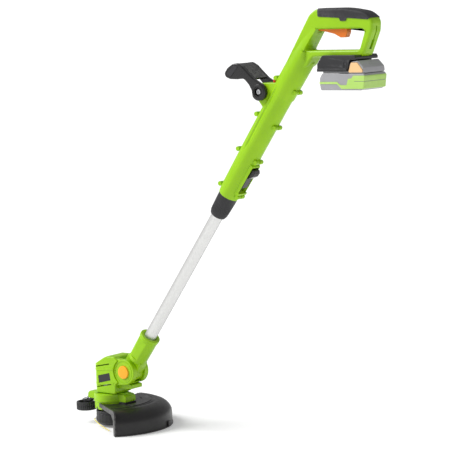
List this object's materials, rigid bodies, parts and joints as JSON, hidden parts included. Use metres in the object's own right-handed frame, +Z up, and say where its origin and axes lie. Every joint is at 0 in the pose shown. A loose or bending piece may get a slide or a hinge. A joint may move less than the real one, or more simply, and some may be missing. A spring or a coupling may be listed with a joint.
{
  "type": "string trimmer",
  "caption": "Battery string trimmer with a rear D-handle, tilting front grip, telescopic tube, tilting motor head, guard, spool and edge wheel.",
  "frame": {"origin": "centre of the rear hand grip, on the tool's middle plane", "axes": "+X rearwards towards the operator, +Y to the operator's right, +Z up along the spool axis"},
  "size_m": [0.807, 0.2196, 0.8686],
  "materials": {
    "lime_plastic": "moulded lime green, light satin gloss",
    "black_plastic": "moulded dark grey, fine spark texture",
    "soft_grip": "soft overmoulded grip, matt",
    "trigger_orange": "moulded orange, satin",
    "button_orange": "moulded light orange, satin",
    "aluminium_tube": "drawn tube, silver anodised satin",
    "steel": "zinc plated",
    "red_plastic": "moulded red",
    "pale_grey": "moulded pale grey",
    "pale_green": "moulded pale green",
    "pale_orange": "moulded pale orange",
    "label_black": "blank dark label, satin",
    "cutting_line": "yellow nylon monofilament",
    "cell_sleeve": "sleeved cells and nickel strip",
    "motor_steel": "zinc plated motor can"
  },
  "bodies": {
    "housing": {"handle_shell_left": "lime_plastic", "handle_shell_right": "lime_plastic", "grip_overmould": "soft_grip", "shell_screw_1": "steel", "shell_screw_2": "steel", "shell_screw_3": "steel", "shell_screw_4": "steel", "trigger_pin": "steel", "trigger_spring": "steel", "switch_body": "black_plastic", "battery_holder": "black_plastic", "terminal_block": "black_plastic", "latch_plate": "steel"},
    "trigger": {"trigger": "trigger_orange"},
    "battery": {"battery_case_lower": "pale_grey", "battery_case_upper": "pale_grey", "battery_cells": "cell_sleeve", "battery_trim": "pale_green"},
    "battery_latch_left": {"battery_latch_left": "pale_orange"},
    "battery_latch_right": {"battery_latch_right": "pale_orange"},
    "lock_slider": {"lock_slider": "black_plastic"},
    "front_handle": {"front_handle": "black_plastic", "front_pad_left": "soft_grip", "front_pad_right": "soft_grip", "pivot_bolt": "steel", "pivot_nut": "steel"},
    "handle_release": {"handle_release": "red_plastic"},
    "twist_collar": {"twist_collar": "black_plastic"},
    "swivel": {"guide_bush": "black_plastic", "collet": "black_plastic"},
    "shaft": {"shaft_tube": "aluminium_tube", "knuckle_left": "lime_plastic", "knuckle_right": "lime_plastic", "knuckle_screw_lower": "steel", "knuckle_screw_upper": "steel"},
    "head": {"motor_housing_left": "lime_plastic", "motor_housing_right": "lime_plastic", "side_label": "label_black", "tilt_pin": "steel", "tilt_spring": "steel", "motor_can": "motor_steel", "head_base": "lime_plastic", "guard": "black_plastic", "guard_screw": "steel", "line_cutter": "steel", "wheel_arm": "black_plastic", "wheel_axle": "steel", "wheel_clip": "steel", "bracket_screw": "steel"},
    "tilt_button": {"tilt_button": "button_orange"},
    "spool": {"motor_shaft": "steel", "spool": "black_plastic", "wound_line": "cutting_line", "spool_spring": "steel", "spool_cap": "black_plastic", "eyelet_left": "steel", "eyelet_right": "steel", "trimmer_line": "cutting_line"},
    "edge_wheel": {"edge_wheel": "black_plastic"}
  },
  "joints": [
    {"name": "trigger_pull", "type": "hinge", "parent": "housing", "child": "trigger", "pos_m": [-0.063, 0, -0.01], "axis": [0, -1, 0], "range_deg": [0, 6.5], "stiffness_Nm_per_rad": 1, "springref_deg": -11.46, "deforming": ["trigger_spring"]},
    {"name": "battery_slide", "type": "slide", "parent": "housing", "child": "battery", "axis": [1, 0, 0], "range_m": [0, 0.1]},
    {"name": "latch_press_left", "type": "slide", "parent": "battery", "child": "battery_latch_left", "axis": [0, 1, 0], "range_m": [0, 0.002], "stiffness_N_per_m": 500, "springref_m": -0.002},
    {"name": "latch_press_right", "type": "slide", "parent": "battery", "child": "battery_latch_right", "axis": [0, -1, 0], "range_m": [0, 0.002], "stiffness_N_per_m": 500, "springref_m": -0.002},
    {"name": "lock_slide", "type": "slide", "parent": "housing", "child": "lock_slider", "axis": [-0.5948, 0, -0.8039], "range_m": [0, 0.01], "stiffness_N_per_m": 200, "springref_m": -0.004},
    {"name": "front_handle_tilt", "type": "hinge", "parent": "housing", "child": "front_handle", "pos_m": [-0.2, 0, -0.138], "axis": [0, 1, 0], "range_deg": [-40, 45]},
    {"name": "release_press", "type": "slide", "parent": "housing", "child": "handle_release", "axis": [0, 0, -1], "range_m": [0, 0.0015], "stiffness_N_per_m": 300, "springref_m": -0.003},
    {"name": "collar_twist", "type": "hinge", "parent": "housing", "child": "twist_collar", "pos_m": [-0.586, 0, -0.726], "axis": [0.5948, 0, 0.8039], "range_deg": [0, 90]},
    {"name": "shaft_turn", "type": "hinge", "parent": "housing", "child": "swivel", "pos_m": [-0.586, 0, -0.726], "axis": [0.5948, 0, 0.8039], "range_deg": [0, 180]},
    {"name": "shaft_telescope", "type": "slide", "parent": "swivel", "child": "shaft", "axis": [0.5948, 0, 0.8039], "range_m": [0, 0.2]},
    {"name": "head_tilt", "type": "hinge", "parent": "shaft", "child": "head", "pos_m": [-0.586, 0, -0.726], "axis": [0, 1, 0], "range_deg": [-35, 15]},
    {"name": "tilt_press", "type": "slide", "parent": "head", "child": "tilt_button", "axis": [0, 1, 0], "range_m": [0, 0.003], "stiffness_N_per_m": 500, "springref_m": -0.003, "deforming": ["tilt_spring"]},
    {"name": "spool_spin", "type": "hinge", "parent": "head", "child": "spool", "pos_m": [-0.645, 0, -0.828], "axis": [0, 0, 1], "continuous": true},
    {"name": "edge_wheel_spin", "type": "hinge", "parent": "head", "child": "edge_wheel", "pos_m": [-0.718, 0, -0.812], "axis": [0, 0, 1], "continuous": true}
  ]
}
